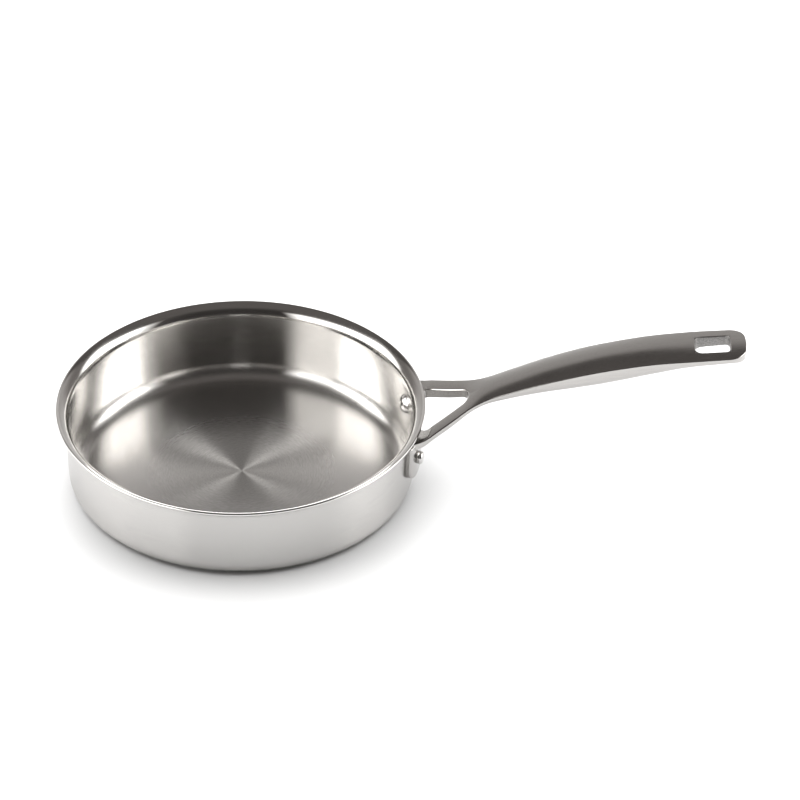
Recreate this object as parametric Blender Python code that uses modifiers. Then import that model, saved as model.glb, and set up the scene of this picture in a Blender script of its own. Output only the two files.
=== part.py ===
# Egg poacher pan: a drawn pan with a flared pouring lip, a cast fork handle
# with two feet, and two rivets that hold the feet to the wall.
# Units are metres, +Z is up. The pan stands on z = 0 with its axis on the
# origin, and the handle runs along +X.

import math

import bmesh
import bpy
from mathutils import Vector

# Pan
RIM_RADIUS = 0.1070          # outermost radius of the lip
PAN_HEIGHT = 0.0497          # ground to the top of the lip
SHEET = 0.0024               # thickness of the drawn sheet
LIP_REACH = 0.00497          # how far the lip stands out from the wall's outer corner
LIP_ANGLE = math.radians(35)     # rise of the flared lip above level
WALL_DRAFT = math.radians(2.5)   # the wall opens upward by this angle
FLOOR_BEND = 0.0065          # inside radius between floor and wall
BASE_BEND = 0.0089           # outside radius between base and wall
LIP_CREST = 0.0075           # inside radius between wall and lip
LIP_BEND = 0.0022            # outside radius between wall and lip
LIP_END_STEPS = 6            # facets of the half circle round the lip's end

# Rivets
RIVET_ANGLE = math.radians(14.75)    # each side of the handle's centre line
RIVET_DROP = 0.0191          # rivet axis below the top of the lip
SHANK_RADIUS = 0.0030
INNER_HEAD_RADIUS = 0.00565
INNER_HEAD_HEIGHT = 0.0028
OUTER_HEAD_RADIUS = 0.0038
OUTER_HEAD_HEIGHT = 0.0026
HEAD_EDGE = 0.0012           # rounding of the outer head's edge
HEAD_CROWN = 0.0003          # the outer head's middle stands this much above its edge
DOME_STEPS = 8               # facets from the inner head's edge to its middle

# Feet of the handle, the plates that lie on the wall
FOOT_THICKNESS = 0.0043
FOOT_WIDTH = 0.0205
FOOT_TOP_DROP = 0.0073       # top of a foot below the top of the lip
FOOT_HEIGHT = 0.0240
FOOT_OUTER_CORNER = 0.0080   # lower corner away from the handle's centre line
FOOT_INNER_CORNER = 0.0035   # lower corner towards the centre line
FOOT_EDGE = 0.0012           # rounding of a foot's face at its edges

# Plan of the handle. X is measured out from the rim, Y from the centre line.
HANDLE_LENGTH = 0.1851       # rim to the tip
TIP_HALF_WIDTH = 0.01470
TIP_BOW = 0.0012             # how far the end's middle stands out
TIP_BOW_BEND = 0.0500
TIP_CORNER = 0.0085
GRIP_X = 0.1550
GRIP_HALF_WIDTH = 0.01495
MIDDLE_X = 0.0850
MIDDLE_HALF_WIDTH = 0.01345
NECK_HALF_WIDTH = 0.01090    # where the sides of grip and leg would meet
NECK_BEND = 0.0300
MIDDLE_BEND = 0.8000         # the grip's sides are very slightly bowed
GRIP_BEND = 0.2000
LEG_ANGLE = math.radians(31.9)   # each leg from the centre line
LEG_WIDTH = 0.0076
LEG_LANDING = math.radians(15.65)    # where a leg's middle line reaches the foot's face
OUTER_FLARE_BEND = 0.0060    # between a leg's outer side and its foot
INNER_FLARE_BEND = 0.0030    # between a leg's inner side and its foot
CROTCH_RADIUS = 0.0095

# Hanging slot, measured out from the rim
SLOT_START = 0.1550
SLOT_LENGTH = 0.0205
SLOT_WIDTH = 0.0169
SLOT_NEAR_CORNER = 0.0045
SLOT_FAR_CORNER = 0.0030

# Side view of the handle: (distance out from the rim, size) pairs.
# EDGE_RISE is the height of the side edges above the top of the lip, CROWN is
# how far the rounded top stands above them, and DEPTH how far the underside
# hangs below them.
EDGE_RISE = [
    (-0.0190, -0.0069), (-0.0023, -0.0065), (0.0050, -0.0041), (0.0156, 0.0004),
    (0.0243, 0.0046), (0.0432, 0.0123), (0.0662, 0.0204), (0.0892, 0.0270),
    (0.1064, 0.0310), (0.1293, 0.0349), (0.1522, 0.0369), (0.1850, 0.0387),
]
CROWN = [
    (-0.0190, 0.0010), (0.0017, 0.0024), (0.0240, 0.0014), (0.0430, 0.0018),
    (0.1060, 0.0032), (0.1610, 0.0036), (0.1850, 0.0036),
]
DEPTH = [
    (-0.0190, 0.0054), (0.0180, 0.0052), (0.0317, 0.0047), (0.0432, 0.0055),
    (0.0662, 0.0085), (0.0892, 0.0113), (0.1064, 0.0119), (0.1293, 0.0098),
    (0.1522, 0.0059), (0.1750, 0.0045), (0.1850, 0.0036),
]
LEG_SQUARENESS = 4.5         # power of the underside's curve at the legs
GRIP_SQUARENESS = 3.0        # and at the grip
LEG_END_X = 0.0110           # the section turns from leg to grip over this stretch
GRIP_START_X = 0.0330

# Clearances and mesh fineness
GAP = 0.0003                 # between pieces that touch
ROUND_STEPS = 96             # facets round the pan
RIVET_STEPS = 32
CHORD_ERROR = 0.00003        # how far an arc's chords may cut inside it
HANDLE_RINGS = 52
CROWN_STEPS = 12
BELLY_STEPS = 22
OVERRUN = 0.0100             # how far cutters reach past what they cut
LEG_OVERRUN = 0.0050         # how far the legs' blank reaches into the wall
LEG_INSET = 0.0024           # and how far its end lies inside the foot's outer side
SIDE_MARGIN = 0.0003         # the handle's blank is this much wider than its plan


def make_collection(name):
    collection = bpy.data.collections.new(name)
    bpy.context.scene.collection.children.link(collection)
    return collection


def make_material(name, colour, roughness):
    material = bpy.data.materials.new(name)
    material.use_nodes = True
    shader = material.node_tree.nodes["Principled BSDF"]
    shader.inputs["Base Color"].default_value = (*colour, 1.0)
    shader.inputs["Metallic"].default_value = 1.0
    shader.inputs["Roughness"].default_value = roughness
    material.diffuse_color = (*colour, 1.0)
    return material


def add_object(name, mesh, collection):
    thing = bpy.data.objects.new(name, mesh)
    collection.objects.link(thing)
    return thing


def hide_as_cutter(thing):
    thing.hide_render = True
    thing.display_type = "WIRE"


def add_boolean(thing, operation, other):
    modifier = thing.modifiers.new(other.name, "BOOLEAN")
    modifier.operation = operation
    modifier.solver = "EXACT"
    modifier.object = other


def round_edges(thing, radius):
    bevel = thing.modifiers.new("round edges", "BEVEL")
    bevel.width = radius
    bevel.segments = 3
    bevel.limit_method = "ANGLE"
    bevel.angle_limit = math.radians(50)


def corner_arc(before, corner, after, radius):
    # Points of the arc that rounds one corner, and touches both of its sides.
    towards_before = (before - corner).normalized()
    towards_after = (after - corner).normalized()
    half_angle = towards_before.angle(towards_after) / 2
    run = radius / math.tan(half_angle)
    start = corner + towards_before * run
    end = corner + towards_after * run
    bisector = (towards_before + towards_after).normalized()
    centre = corner + bisector * (radius / math.sin(half_angle))
    sweep = math.pi - 2 * half_angle
    step = 2 * math.acos(1 - min(CHORD_ERROR / radius, 0.5))
    count = max(2, math.ceil(sweep / step))
    first = start - centre
    second = end - centre
    points = []
    for i in range(count + 1):
        share = i / count
        near = math.sin((1 - share) * sweep) / math.sin(sweep)
        far = math.sin(share * sweep) / math.sin(sweep)
        points.append(centre + first * near + second * far)
    return points


def rounded_path(corners, closed):
    # A path through (x, y, radius) corners, each rounded by its own radius.
    points = []
    places = [Vector((x, y)) for x, y, radius in corners]
    count = len(corners)
    for i, (x, y, radius) in enumerate(corners):
        at_end = not closed and i in (0, count - 1)
        if radius == 0 or at_end:
            points.append(places[i])
            continue
        points += corner_arc(places[i - 1], places[i], places[(i + 1) % count], radius)
    return points


def smooth_value(pairs, x):
    # Cubic (Catmull-Rom) value at x of a list of (x, value) pairs.
    if x <= pairs[0][0]:
        return pairs[0][1]
    if x >= pairs[-1][0]:
        return pairs[-1][1]
    i = max(k for k in range(len(pairs) - 1) if pairs[k][0] <= x)
    x0, y0 = pairs[max(i - 1, 0)]
    x1, y1 = pairs[i]
    x2, y2 = pairs[i + 1]
    x3, y3 = pairs[min(i + 2, len(pairs) - 1)]
    slope1 = (y2 - y0) / (x2 - x0)
    slope2 = (y3 - y1) / (x3 - x1)
    span = x2 - x1
    t = (x - x1) / span
    return ((2 * t**3 - 3 * t**2 + 1) * y1 + (t**3 - 2 * t**2 + t) * span * slope1
            + (3 * t**2 - 2 * t**3) * y2 + (t**3 - t**2) * span * slope2)


def turned(name, points, steps, collection, closed=False):
    # A solid of revolution about Z. The profile lies in the XZ plane and runs
    # down its outer side from top to bottom.
    mesh = bpy.data.meshes.new(name)
    count = len(points)
    edges = [(i, i + 1) for i in range(count - 1)]
    if closed:
        edges.append((count - 1, 0))
    mesh.from_pydata([(r, 0, z) for r, z in points], edges, [])
    thing = add_object(name, mesh, collection)
    screw = thing.modifiers.new("turn", "SCREW")
    screw.axis = "Z"
    screw.steps = steps
    screw.render_steps = steps
    screw.use_merge_vertices = True
    screw.merge_threshold = 0.00001
    screw.use_smooth_shade = True
    return thing


def as_mesh(thing, collection):
    # Replaces a curve by its mesh, with the loose caps welded on.
    depsgraph = bpy.context.evaluated_depsgraph_get()
    mesh = bpy.data.meshes.new_from_object(thing.evaluated_get(depsgraph))
    work = bmesh.new()
    work.from_mesh(mesh)
    bmesh.ops.remove_doubles(work, verts=work.verts, dist=0.000001)
    work.to_mesh(mesh)
    work.free()
    solid = add_object(thing.name + "_solid", mesh, collection)
    solid.matrix_world = thing.matrix_world.copy()
    bpy.data.objects.remove(thing)
    return solid


def flat_plate(name, outlines, thickness, place, turn, collection):
    # A flat outline with its holes, extruded by half the thickness each way.
    curve = bpy.data.curves.new(name, "CURVE")
    curve.dimensions = "2D"
    curve.fill_mode = "BOTH"
    curve.extrude = thickness / 2
    for outline in outlines:
        spline = curve.splines.new("POLY")
        spline.points.add(len(outline) - 1)
        for point, (x, y) in zip(spline.points, outline):
            point.co = (x, y, 0, 1)
        spline.use_cyclic_u = True
    thing = add_object(name, curve, collection)
    thing.location = place
    thing.rotation_euler = turn
    bpy.context.view_layer.update()
    return as_mesh(thing, collection)


def outer_wall_radius(z):
    return wall_corner[0] + (z - wall_corner[1]) * math.tan(WALL_DRAFT)


def pan_profile():
    # Half section of the pan: floor, wall and flared lip inside, round the
    # lip's end, and back down the outside.
    along = Vector((math.cos(LIP_ANGLE), math.sin(LIP_ANGLE)))
    across = Vector((-math.sin(LIP_ANGLE), math.cos(LIP_ANGLE)))
    lip_centre = Vector((RIM_RADIUS - SHEET / 2, PAN_HEIGHT - SHEET / 2))
    inner_shift = SHEET / math.cos(WALL_DRAFT)
    inner_edge = lip_centre + across * SHEET / 2
    outer_edge = lip_centre - across * SHEET / 2
    # The inner corner is where the inner faces of wall and lip cross.
    wall_slope = math.tan(WALL_DRAFT)
    lip_slope = math.tan(LIP_ANGLE)
    rise = ((inner_edge.x - wall_corner[0] + inner_shift) * lip_slope
            + wall_corner[1] - inner_edge.y)
    inner_corner_z = wall_corner[1] - rise / (1 - wall_slope * lip_slope)
    inside = rounded_path([
        (0, SHEET, 0),
        (outer_wall_radius(SHEET) - inner_shift, SHEET, FLOOR_BEND),
        (outer_wall_radius(inner_corner_z) - inner_shift, inner_corner_z, LIP_CREST),
        (inner_edge.x, inner_edge.y, 0),
    ], closed=False)
    lip_end = []
    for i in range(1, LIP_END_STEPS):
        angle = math.pi * i / LIP_END_STEPS
        lip_end.append(lip_centre + (across * math.cos(angle) + along * math.sin(angle)) * SHEET / 2)
    outside = rounded_path([
        (outer_edge.x, outer_edge.y, 0),
        (wall_corner[0], wall_corner[1], LIP_BEND),
        (outer_wall_radius(0), 0, BASE_BEND),
        (0, 0, 0),
    ], closed=False)
    return inside + lip_end + outside


def rivet_profile():
    # Half section of a rivet along its own axis: z = 0 is the wall's outer
    # face, the domed inner head lies below and the outer head above.
    inner_face = -SHEET - GAP - INNER_HEAD_RADIUS**2 / (2 * (RIM_RADIUS - LIP_REACH))
    outer_face = FOOT_THICKNESS + GAP * 2
    top = outer_face + OUTER_HEAD_HEIGHT
    outer_head = rounded_path([
        (0, top, 0),
        (OUTER_HEAD_RADIUS, top - HEAD_CROWN, HEAD_EDGE),
        (OUTER_HEAD_RADIUS, outer_face, 0),
        (SHANK_RADIUS, outer_face, 0),
    ], closed=False)
    dome = (INNER_HEAD_RADIUS**2 + INNER_HEAD_HEIGHT**2) / (2 * INNER_HEAD_HEIGHT)
    span = math.asin(INNER_HEAD_RADIUS / dome)
    inner_head = [Vector((SHANK_RADIUS, inner_face))]
    for i in range(DOME_STEPS + 1):
        angle = span * (1 - i / DOME_STEPS)
        drop = INNER_HEAD_HEIGHT - dome * (1 - math.cos(angle))
        inner_head.append(Vector((dome * math.sin(angle), inner_face - drop)))
    return outer_head + inner_head


def place_on_wall(thing, side):
    # Turns local Z onto the wall's outward normal at a rivet's place.
    z = PAN_HEIGHT - RIVET_DROP
    radius = outer_wall_radius(z)
    angle = RIVET_ANGLE * side
    thing.location = (radius * math.cos(angle), radius * math.sin(angle), z)
    thing.rotation_euler = (0, math.pi / 2 + WALL_DRAFT, angle)


def handle_outline():
    # Plan of the handle: grip, neck, and the two legs that open to the feet.
    face = outer_wall_radius(PAN_HEIGHT - FOOT_TOP_DROP) + FOOT_THICKNESS
    slope = math.tan(LEG_ANGLE)
    landing = Vector((face * math.cos(LEG_LANDING), face * math.sin(LEG_LANDING)))
    half_leg = LEG_WIDTH / 2 / math.cos(LEG_ANGLE)
    grip_end = RIM_RADIUS + HANDLE_LENGTH

    def leg_side(x, offset):
        # Distance of a leg's side from the centre line at x.
        return landing.y + offset - (x - landing.x) * slope

    # Where the outer side of a leg meets the side of the grip.
    middle_x = RIM_RADIUS + MIDDLE_X
    neck_x = landing.x + (landing.y + half_leg - NECK_HALF_WIDTH) / slope
    crotch_x = landing.x + (landing.y - half_leg) / slope
    # Where the sides of a leg turn into its foot.
    outer_turn = RIVET_ANGLE + FOOT_WIDTH / 2 / face
    inner_turn = RIVET_ANGLE - FOOT_WIDTH / 2 / face
    outer_foot = Vector((face * math.cos(outer_turn), face * math.sin(outer_turn)))
    inner_foot = Vector((face * math.cos(inner_turn), face * math.sin(inner_turn)))
    outer_bend_x = face * math.cos(RIVET_ANGLE) + OUTER_FLARE_BEND / 2
    inner_bend_x = inner_foot.x + INNER_FLARE_BEND / 2
    inside_x = outer_wall_radius(0) * math.cos(outer_turn) - LEG_OVERRUN
    half = [
        (grip_end - TIP_BOW, TIP_HALF_WIDTH, TIP_CORNER),
        (RIM_RADIUS + GRIP_X, GRIP_HALF_WIDTH, GRIP_BEND),
        (middle_x, MIDDLE_HALF_WIDTH, MIDDLE_BEND),
        (neck_x, NECK_HALF_WIDTH, NECK_BEND),
        (outer_bend_x, leg_side(outer_bend_x, half_leg), OUTER_FLARE_BEND),
        (outer_foot.x, outer_foot.y - FOOT_EDGE, 0),
        (inside_x, outer_foot.y - LEG_INSET, 0),
        (inside_x, inner_foot.y + INNER_FLARE_BEND / 2, 0),
        (inner_foot.x, inner_foot.y + INNER_FLARE_BEND / 2, 0),
        (inner_bend_x, leg_side(inner_bend_x, -half_leg), INNER_FLARE_BEND),
    ]
    other_half = [(x, -y, radius) for x, y, radius in reversed(half)]
    corners = [(grip_end, 0, TIP_BOW_BEND)] + half + [(crotch_x, 0, CROTCH_RADIUS)] + other_half
    return rounded_path(corners, closed=True)


def outline_half_width(outline, x):
    # Largest distance of the plan's outline from the centre line at x.
    widest = 0
    for start, end in zip(outline, outline[1:] + outline[:1]):
        if min(start.x, end.x) <= x <= max(start.x, end.x) and start.x != end.x:
            share = (x - start.x) / (end.x - start.x)
            widest = max(widest, abs(start.y + (end.y - start.y) * share))
    return widest


def section_power(x):
    # From the square section of the legs to the round belly of the grip.
    share = min(max((x - LEG_END_X) / (GRIP_START_X - LEG_END_X), 0), 1)
    blend = share * share * (3 - 2 * share)
    return LEG_SQUARENESS + (GRIP_SQUARENESS - LEG_SQUARENESS) * blend, 1 - blend


def handle_blank(outline, collection):
    # A loft along the handle: a crowned top over an underside that turns from
    # a flat bar at the legs to a deep belly at the grip.
    first_x = EDGE_RISE[0][0]
    last_x = HANDLE_LENGTH + OVERRUN
    widest_x = max(point.x for point in outline if abs(point.y) > TIP_HALF_WIDTH - TIP_CORNER)
    straight_x = widest_x - TIP_CORNER
    foot_x = min(point.x for point in outline) + OVERRUN
    work = bmesh.new()
    rings = []
    for i in range(HANDLE_RINGS + 1):
        out = first_x + (last_x - first_x) * i / HANDLE_RINGS
        x = RIM_RADIUS + out
        half = outline_half_width(outline, min(max(x, foot_x), straight_x))
        reach = half + SIDE_MARGIN
        edge = PAN_HEIGHT + smooth_value(EDGE_RISE, out)
        crown = smooth_value(CROWN, out)
        depth = smooth_value(DEPTH, out)
        power, follow = section_power(out)
        ring = []
        for k in range(CROWN_STEPS + 1):
            y = reach * (2 * k / CROWN_STEPS - 1)
            ring.append(work.verts.new((x, y, edge + crown * (1 - (y / half)**2))))
        for k in range(1, BELLY_STEPS):
            y = reach * math.cos(math.pi * k / BELLY_STEPS)
            fall = depth * (1 - abs(y / reach)**power)**(1 / power)
            lift = follow * crown * (1 - (y / half)**2)
            ring.append(work.verts.new((x, y, edge + lift - fall)))
        rings.append(ring)
    for near, far in zip(rings, rings[1:]):
        for k in range(len(near)):
            after = (k + 1) % len(near)
            work.faces.new((near[k], near[after], far[after], far[k]))
    work.faces.new(rings[0])
    work.faces.new(rings[-1])
    bmesh.ops.recalc_face_normals(work, faces=work.faces)
    mesh = bpy.data.meshes.new("handle_blank")
    work.to_mesh(mesh)
    work.free()
    blank = add_object("handle_blank", mesh, collection)
    hide_as_cutter(blank)
    return blank


def slot_outline():
    start = RIM_RADIUS + SLOT_START
    end = start + SLOT_LENGTH
    half = SLOT_WIDTH / 2
    return rounded_path([
        (start, half, SLOT_NEAR_CORNER),
        (end, half, SLOT_FAR_CORNER),
        (end, -half, SLOT_FAR_CORNER),
        (start, -half, SLOT_NEAR_CORNER),
    ], closed=True)


def foot_plate(side, ring, collection):
    # One foot: a tongue with rounded lower corners, curved like the wall.
    top = RIVET_DROP - FOOT_TOP_DROP
    bottom = top - FOOT_HEIGHT
    outer = FOOT_WIDTH / 2 * side
    outline = rounded_path([
        (outer, top, GAP),
        (-outer, top, GAP),
        (-outer, bottom, FOOT_INNER_CORNER),
        (outer, bottom, FOOT_OUTER_CORNER),
    ], closed=True)
    z = PAN_HEIGHT - RIVET_DROP
    radius = outer_wall_radius(z)
    angle = RIVET_ANGLE * side
    place = (radius * math.cos(angle), radius * math.sin(angle), z)
    turn = (math.pi / 2, 0, math.pi / 2 + angle)
    plate = flat_plate("foot", [outline], 2 * OVERRUN, place, turn, collection)
    add_boolean(plate, "INTERSECT", ring)
    round_edges(plate, FOOT_EDGE)
    hide_as_cutter(plate)
    return plate


def foot_ring(collection):
    # The shell that the feet are cut from, concentric with the wall.
    top = PAN_HEIGHT
    bottom = top - FOOT_TOP_DROP - FOOT_HEIGHT - OVERRUN
    outward = GAP + FOOT_THICKNESS
    ring = turned("foot_shell", [
        (outer_wall_radius(bottom) - SHEET, bottom),
        (outer_wall_radius(top) - SHEET, top),
        (outer_wall_radius(top) + outward, top),
        (outer_wall_radius(bottom) + outward, bottom),
    ], ROUND_STEPS, collection, closed=True)
    hide_as_cutter(ring)
    return ring


def pan_clearance(collection):
    # Everything within a gap of the pan's outside, as a solid plug.
    corner_x = wall_corner[0] + GAP
    corner_z = wall_corner[1] - GAP
    lip_z = corner_z + (LIP_REACH + GAP) * math.tan(LIP_ANGLE) - GAP
    plug = turned("pan_clearance", rounded_path([
        (0, PAN_HEIGHT + GAP, 0),
        (RIM_RADIUS + GAP, PAN_HEIGHT + GAP, 0),
        (RIM_RADIUS + GAP, lip_z, 0),
        (corner_x, corner_z, LIP_BEND - GAP),
        (outer_wall_radius(0) + GAP, 0, 0),
        (0, 0, 0),
    ], closed=False), ROUND_STEPS, collection)
    hide_as_cutter(plug)
    return plug


def rivet_hole(side, collection):
    bpy.ops.mesh.primitive_cylinder_add(
        vertices=RIVET_STEPS, radius=SHANK_RADIUS + GAP, depth=4 * OVERRUN)
    hole = bpy.context.object
    hole.name = "rivet_hole"
    for other in list(hole.users_collection):
        other.objects.unlink(hole)
    collection.objects.link(hole)
    place_on_wall(hole, side)
    hide_as_cutter(hole)
    return hole


def finish_part(thing, material):
    # Applies the modifiers, then shades smooth except at real edges.
    depsgraph = bpy.context.evaluated_depsgraph_get()
    mesh = bpy.data.meshes.new_from_object(thing.evaluated_get(depsgraph))
    thing.modifiers.clear()
    thing.data = mesh
    mesh.materials.clear()
    mesh.materials.append(material)
    mesh.shade_smooth()
    mesh.set_sharp_from_angle(angle=math.radians(30))


def wall_outer_corner():
    # Where the wall's outer face would meet the lip's underside.
    radius = RIM_RADIUS - LIP_REACH
    edge_x = RIM_RADIUS - SHEET / 2 + SHEET / 2 * math.sin(LIP_ANGLE)
    edge_z = PAN_HEIGHT - SHEET / 2 - SHEET / 2 * math.cos(LIP_ANGLE)
    return radius, edge_z - (edge_x - radius) * math.tan(LIP_ANGLE)


for old in list(bpy.data.objects):
    bpy.data.objects.remove(old)

wall_corner = wall_outer_corner()
parts = make_collection("egg_poacher_pan")
cutters = make_collection("cutters")
satin_steel = make_material("satin_steel", (0.62, 0.61, 0.59), 0.28)
cast_steel = make_material("cast_steel", (0.50, 0.48, 0.46), 0.34)
polished_steel = make_material("polished_steel", (0.70, 0.69, 0.68), 0.12)

holes = [rivet_hole(side, cutters) for side in (-1, 1)]

pan = turned("pan_body", pan_profile(), ROUND_STEPS, parts)
for hole in holes:
    add_boolean(pan, "DIFFERENCE", hole)

outline = handle_outline()
plate_middle = (0, 0, PAN_HEIGHT)
handle = flat_plate("handle", [outline, slot_outline()], RIM_RADIUS, plate_middle, (0, 0, 0), parts)
handle.name = "handle"
add_boolean(handle, "INTERSECT", handle_blank(outline, cutters))
shell = foot_ring(cutters)
for side in (-1, 1):
    add_boolean(handle, "UNION", foot_plate(side, shell, cutters))
add_boolean(handle, "DIFFERENCE", pan_clearance(cutters))
for hole in holes:
    add_boolean(handle, "DIFFERENCE", hole)

rivets = []
for name, side in (("rivet_right", -1), ("rivet_left", 1)):
    rivet = turned(name, rivet_profile(), RIVET_STEPS, parts)
    place_on_wall(rivet, side)
    rivets.append(rivet)

bpy.context.view_layer.update()
finish_part(pan, satin_steel)
finish_part(handle, cast_steel)
for rivet in rivets:
    finish_part(rivet, polished_steel)
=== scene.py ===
# Looks of the egg poacher pan: a turned satin steel pan, a cast fork handle
# and two rivets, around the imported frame. Metres, +Z up, handle along +X.
import bmesh
import bpy
import math
import numpy as np
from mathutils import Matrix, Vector


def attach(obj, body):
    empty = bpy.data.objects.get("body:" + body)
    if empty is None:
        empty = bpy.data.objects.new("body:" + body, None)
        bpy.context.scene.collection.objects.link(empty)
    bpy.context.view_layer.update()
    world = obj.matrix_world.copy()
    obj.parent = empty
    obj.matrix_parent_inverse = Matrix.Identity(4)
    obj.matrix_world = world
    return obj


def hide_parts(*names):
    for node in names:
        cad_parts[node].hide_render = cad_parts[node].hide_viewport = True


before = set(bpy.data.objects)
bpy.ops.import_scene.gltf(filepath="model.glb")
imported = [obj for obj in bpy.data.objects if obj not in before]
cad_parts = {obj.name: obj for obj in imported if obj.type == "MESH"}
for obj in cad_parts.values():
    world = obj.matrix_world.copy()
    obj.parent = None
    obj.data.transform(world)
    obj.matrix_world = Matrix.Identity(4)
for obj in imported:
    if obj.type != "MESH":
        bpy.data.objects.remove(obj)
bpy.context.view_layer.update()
print("frame loaded:", ", ".join(sorted(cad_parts)))


class Wire:
    # One socket of a node tree, with the arithmetic that the finishes use.
    def __init__(self, nodes, socket):
        self.nodes = nodes
        self.socket = socket

    def maths(self, operation, *values, clamp=False):
        settings = {"operation": operation, "use_clamp": clamp}
        return self.nodes.node("ShaderNodeMath", settings, dict(enumerate(values)))[0]

    def __add__(self, other):
        return self.maths("ADD", self, other)

    def __radd__(self, other):
        return self.maths("ADD", other, self)

    def __sub__(self, other):
        return self.maths("SUBTRACT", self, other)

    def __rsub__(self, other):
        return self.maths("SUBTRACT", other, self)

    def __mul__(self, other):
        return self.maths("MULTIPLY", self, other)

    def __rmul__(self, other):
        return self.maths("MULTIPLY", other, self)

    def __truediv__(self, other):
        return self.maths("DIVIDE", self, other)

    def __pow__(self, other):
        return self.maths("POWER", self, other)

    def rise(self, low, high):
        # 0 below low, 1 above high, smooth between them.
        share = self.maths("MULTIPLY", self - low, 1 / (high - low), clamp=True)
        return share * share * (3 - 2 * share)

    def band(self, low, high, soft):
        # 1 between low and high, falling to 0 over soft on both sides.
        return self.rise(low - soft, low + soft) * (1 - self.rise(high - soft, high + soft))


class Nodes:
    # The nodes of one material, or of the light around the pan.
    def __init__(self, tree):
        self.tree = tree

    def node(self, kind, settings=None, sockets=None):
        # Any node: its settings first, then the values or links of its sockets,
        # named or numbered. Gives back its outputs.
        made = self.tree.nodes.new(kind)
        for key, value in (settings or {}).items():
            setattr(made, key, value)
        for key, value in (sockets or {}).items():
            self.feed(made.inputs[key], value)
        return [Wire(self, socket) for socket in made.outputs]

    def feed(self, socket, value):
        if isinstance(value, Wire):
            self.tree.links.new(value.socket, socket)
        else:
            socket.default_value = value

    def noise(self, place, scale, detail, roughness=0.5):
        sockets = {"Vector": place, "Scale": scale, "Detail": detail, "Roughness": roughness}
        return self.node("ShaderNodeTexNoise", sockets=sockets)[0]

    def vector(self, x, y, z):
        return self.node("ShaderNodeCombineXYZ", sockets={"X": x, "Y": y, "Z": z})[0]

    def parts(self, vector):
        return self.node("ShaderNodeSeparateXYZ", sockets={0: vector})

    def objectPlace(self):
        return self.node("ShaderNodeTexCoord")[3]     # its Object output

    def blend(self, share, first, second):
        sockets = {0: share, 6: first, 7: second}     # 6 and 7 take the two colours
        return self.node("ShaderNodeMix", {"data_type": "RGBA"}, sockets)[2]

    def bump(self, strength, depth, height):
        sockets = {"Strength": strength, "Distance": depth, "Height": height}
        return self.node("ShaderNodeBump", sockets=sockets)[0]

    def steel(self, colour, roughness, relief, anisotropic=0.0, alongTurn=0.0):
        sockets = {"Metallic": 1.0, "Base Color": colour, "Roughness": roughness,
                   "Normal": relief, "Anisotropic": anisotropic, "Anisotropic Rotation": alongTurn}
        return self.node("ShaderNodeBsdfPrincipled", sockets=sockets)[0]

    def show(self, shader):
        self.feed(self.tree.nodes["Material Output"].inputs["Surface"], shader)


def startMaterial(name):
    # A material that has its output but no shader yet.
    material = bpy.data.materials.new(name)
    material.use_nodes = True
    nodes = Nodes(material.node_tree)
    nodes.tree.nodes.remove(nodes.tree.nodes["Principled BSDF"])
    return material, nodes


def makePiece(name, points, faces, material, weld=1e-7):
    # A mesh from an array of points and lists of faces, welded and smooth.
    mesh = bpy.data.meshes.new(name)
    mesh.from_pydata(points.tolist(), [], [face for group in faces for face in group.tolist()])
    mesh.validate()
    piece = bpy.data.objects.new(name, mesh)
    bpy.context.scene.collection.objects.link(piece)
    if weld:
        work = bmesh.new()
        work.from_mesh(mesh)
        bmesh.ops.remove_doubles(work, verts=work.verts, dist=weld)
        bmesh.ops.dissolve_degenerate(work, dist=weld / 10, edges=work.edges)
        bmesh.ops.recalc_face_normals(work, faces=work.faces)
        work.to_mesh(mesh)
        work.free()
    mesh.shade_smooth()
    mesh.materials.append(material)
    return piece


def gridFaces(index, closeColumns=False):
    # Quads of a grid of vertex numbers; the last column may join the first.
    if closeColumns:
        index = np.concatenate([index, index[:, :1]], axis=1)
    a, b, c, d = index[:-1, :-1], index[1:, :-1], index[1:, 1:], index[:-1, 1:]
    return np.stack([a, b, c, d], axis=-1).reshape(-1, 4)


def fanFaces(ring, middle):
    # Triangles that close a ring of vertex numbers over a middle vertex.
    return np.stack([np.full(len(ring), middle), ring, np.roll(ring, -1)], axis=-1)


def roundedPath(corners, closed=False, chord=5e-6):
    # Points through (x, y, radius) corners: each corner becomes the arc that
    # touches both of its sides, cut into chords that stay close to it.
    places = [Vector(corner[:2]) for corner in corners]
    count = len(corners)
    points = []
    for i, (x, y, radius) in enumerate(corners):
        if radius == 0 or (not closed and i in (0, count - 1)):
            points.append((x, y))
            continue
        before = (places[i - 1] - places[i]).normalized()
        after = (places[(i + 1) % count] - places[i]).normalized()
        half = before.angle(after) / 2
        centre = places[i] + (before + after).normalized() * (radius / math.sin(half))
        start = places[i] + before * (radius / math.tan(half)) - centre
        end = places[i] + after * (radius / math.tan(half)) - centre
        sweep = math.pi - 2 * half
        steps = max(2, math.ceil(sweep / (2 * math.acos(1 - min(chord / radius, 0.5)))))
        share = np.linspace(0, 1, steps + 1)[:, None]
        arc = (np.sin((1 - share) * sweep) * np.array(start)
               + np.sin(share * sweep) * np.array(end)) / math.sin(sweep) + np.array(centre)
        points += [tuple(p) for p in arc]
    return np.array(points)


def pathRun(path):
    # Distance along a path at each of its points.
    return np.concatenate([[0], np.cumsum(np.hypot(*np.diff(path, axis=0).T))])


def pathLength(path):
    return float(pathRun(path)[-1])


def along(path, distance):
    # Points at given distances along a path.
    return np.stack([np.interp(distance, pathRun(path), path[:, k]) for k in range(2)], axis=-1)


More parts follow.
